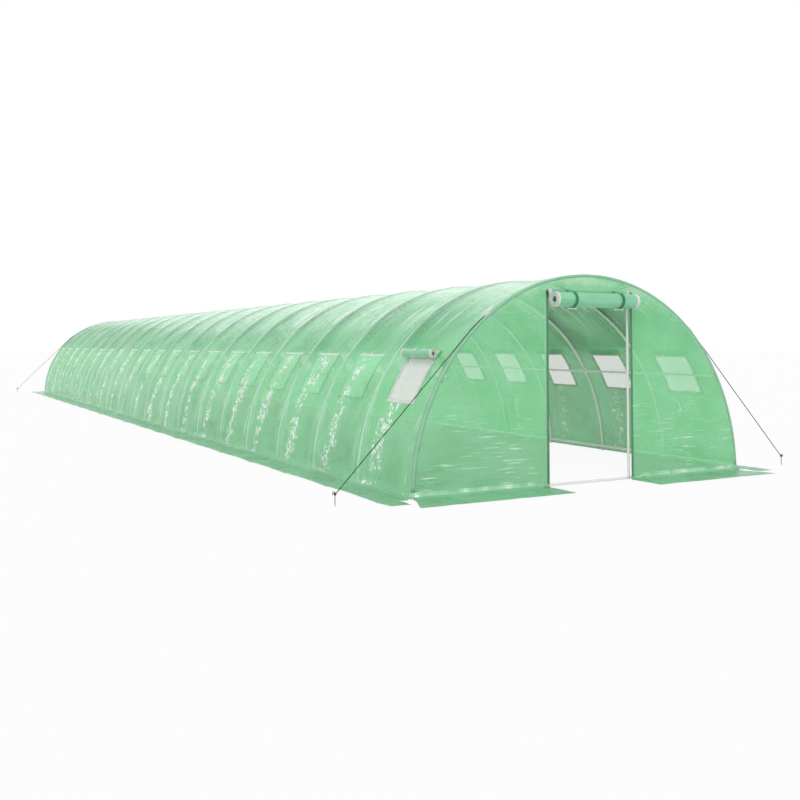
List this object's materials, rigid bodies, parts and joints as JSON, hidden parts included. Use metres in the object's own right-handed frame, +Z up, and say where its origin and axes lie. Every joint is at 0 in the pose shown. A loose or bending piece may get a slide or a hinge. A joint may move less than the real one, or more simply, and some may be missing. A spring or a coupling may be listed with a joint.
{
  "type": "walk-in tunnel greenhouse",
  "caption": "Walk-in tunnel greenhouse: steel hoops and rails under a green film cover, with roll-up gable doors, roll-up mesh windows, ground skirts and guy ropes.",
  "frame": {"origin": "on the ground in the middle of the tunnel", "axes": "X across the tunnel, +Y along it from the front gable to the rear, +Z up"},
  "size_m": [5.502, 20.78, 2],
  "materials": {
    "frame_steel": "white galvanised tube, satin",
    "fitting_steel": "white galvanised fittings, satin",
    "screw_steel": "zinc plated",
    "cover_film": "reinforced polyethylene film, slightly glossy",
    "skirt_film": "reinforced polyethylene film, slightly glossy",
    "flap_film": "reinforced polyethylene film, slightly glossy",
    "door_film": "reinforced polyethylene film, slightly glossy",
    "mesh_screen": "woven insect mesh, matt",
    "green_webbing": "woven webbing, matt",
    "white_webbing": "woven webbing, matt",
    "toggle_plastic": "moulded plastic, matt",
    "zip_fabric": "zip tape with moulded chain, matt",
    "zip_metal": "black enamel, satin",
    "guy_cord": "twisted polypropylene, matt",
    "peg_steel": "plain steel"
  },
  "bodies": {
    "frame": {"hoop_tubes_right_lower": "frame_steel", "hoop_tubes_right_upper": "frame_steel", "hoop_tubes_top": "frame_steel", "hoop_tubes_left_upper": "frame_steel", "hoop_tubes_left_lower": "frame_steel", "ridge_rail_tubes": "frame_steel", "side_rail_tubes": "frame_steel", "base_rail_tubes": "frame_steel", "frame_screws": "screw_steel", "door_posts": "frame_steel", "door_headers": "frame_steel", "door_sills": "frame_steel", "gable_base_tubes": "frame_steel", "header_tees": "fitting_steel", "foot_tees": "fitting_steel", "cover_left_wall": "cover_film", "cover_left_roof": "cover_film", "cover_right_roof": "cover_film", "cover_right_wall": "cover_film", "front_gable_sheet": "cover_film", "rear_gable_sheet": "cover_film", "left_skirt": "skirt_film", "right_skirt": "skirt_film", "front_skirts": "skirt_film", "rear_skirts": "skirt_film", "front_door_curtain": "door_film", "front_door_ties": "green_webbing", "front_door_toggles": "toggle_plastic", "front_zip_tapes": "zip_fabric", "rear_door_curtain": "door_film", "rear_door_ties": "green_webbing", "rear_door_toggles": "toggle_plastic", "rear_zip_tapes": "zip_fabric", "left_window_screens": "mesh_screen", "right_window_screens": "mesh_screen", "left_window_curtain": "flap_film", "right_window_curtains": "flap_film", "left_window_tie": "white_webbing", "right_window_ties": "white_webbing", "front_left_guy_rope": "guy_cord", "front_right_guy_rope": "guy_cord", "rear_left_guy_rope": "guy_cord", "rear_right_guy_rope": "guy_cord", "guy_pegs": "peg_steel", "guy_tabs": "white_webbing"},
    "front_door_roll": {"front_door_roll": "door_film"},
    "front_left_zip_slider": {"front_left_zip_slider": "zip_metal"},
    "front_left_zip_pull": {"front_left_zip_pull": "zip_metal"},
    "front_right_zip_slider": {"front_right_zip_slider": "zip_metal"},
    "front_right_zip_pull": {"front_right_zip_pull": "zip_metal"},
    "rear_door_roll": {"rear_door_roll": "door_film"},
    "rear_left_zip_slider": {"rear_left_zip_slider": "zip_metal"},
    "rear_left_zip_pull": {"rear_left_zip_pull": "zip_metal"},
    "rear_right_zip_slider": {"rear_right_zip_slider": "zip_metal"},
    "rear_right_zip_pull": {"rear_right_zip_pull": "zip_metal"},
    "left_window_roll": {"left_window_roll": "flap_film"},
    "left_window_flaps": {"left_window_flaps": "flap_film"},
    "right_window_rolls": {"right_window_rolls": "flap_film"}
  },
  "joints": [
    {"name": "front_door_unroll", "type": "slide", "parent": "frame", "child": "front_door_roll", "axis": [0, 0, -1], "range_m": [0, 1.64], "deforming": ["front_door_curtain", "front_door_ties", "front_door_toggles"]},
    {"name": "front_left_zip_slide", "type": "slide", "parent": "frame", "child": "front_left_zip_slider", "axis": [0, 0, -1], "range_m": [0, 1.76]},
    {"name": "front_left_pull_swing", "type": "hinge", "parent": "front_left_zip_slider", "child": "front_left_zip_pull", "pos_m": [-0.524, -10.0296, 1.812], "axis": [-1, 0, 0], "range_deg": [0, 150]},
    {"name": "front_right_zip_slide", "type": "slide", "parent": "frame", "child": "front_right_zip_slider", "axis": [0, 0, -1], "range_m": [0, 1.76]},
    {"name": "front_right_pull_swing", "type": "hinge", "parent": "front_right_zip_slider", "child": "front_right_zip_pull", "pos_m": [0.524, -10.0296, 1.812], "axis": [-1, 0, 0], "range_deg": [0, 150]},
    {"name": "rear_door_unroll", "type": "slide", "parent": "frame", "child": "rear_door_roll", "axis": [0, 0, -1], "range_m": [0, 1.64], "deforming": ["rear_door_curtain", "rear_door_ties", "rear_door_toggles"]},
    {"name": "rear_left_zip_slide", "type": "slide", "parent": "frame", "child": "rear_left_zip_slider", "axis": [0, 0, -1], "range_m": [0, 1.76]},
    {"name": "rear_left_pull_swing", "type": "hinge", "parent": "rear_left_zip_slider", "child": "rear_left_zip_pull", "pos_m": [0.524, 10.0296, 1.812], "axis": [1, 0, 0], "range_deg": [0, 150]},
    {"name": "rear_right_zip_slide", "type": "slide", "parent": "frame", "child": "rear_right_zip_slider", "axis": [0, 0, -1], "range_m": [0, 1.76]},
    {"name": "rear_right_pull_swing", "type": "hinge", "parent": "rear_right_zip_slider", "child": "rear_right_zip_pull", "pos_m": [-0.524, 10.0296, 1.812], "axis": [1, 0, 0], "range_deg": [0, 150]},
    {"name": "left_window_unroll", "type": "hinge", "parent": "frame", "child": "left_window_roll", "pos_m": [0, -9.5, 0], "axis": [0, -1, 0], "range_deg": [0, 12.9], "deforming": ["left_window_curtain", "left_window_tie"]},
    {"name": "right_windows_unroll", "type": "hinge", "parent": "frame", "child": "right_window_rolls", "pos_m": [0, 0, 0], "axis": [0, 1, 0], "range_deg": [0, 12.9], "deforming": ["right_window_curtains", "right_window_ties"]},
    {"name": "left_flaps_lift", "type": "hinge", "parent": "frame", "child": "left_window_flaps", "pos_m": [-1.57195, 0, 1.237], "axis": [0, 1, 0], "range_deg": [0, 90]}
  ]
}
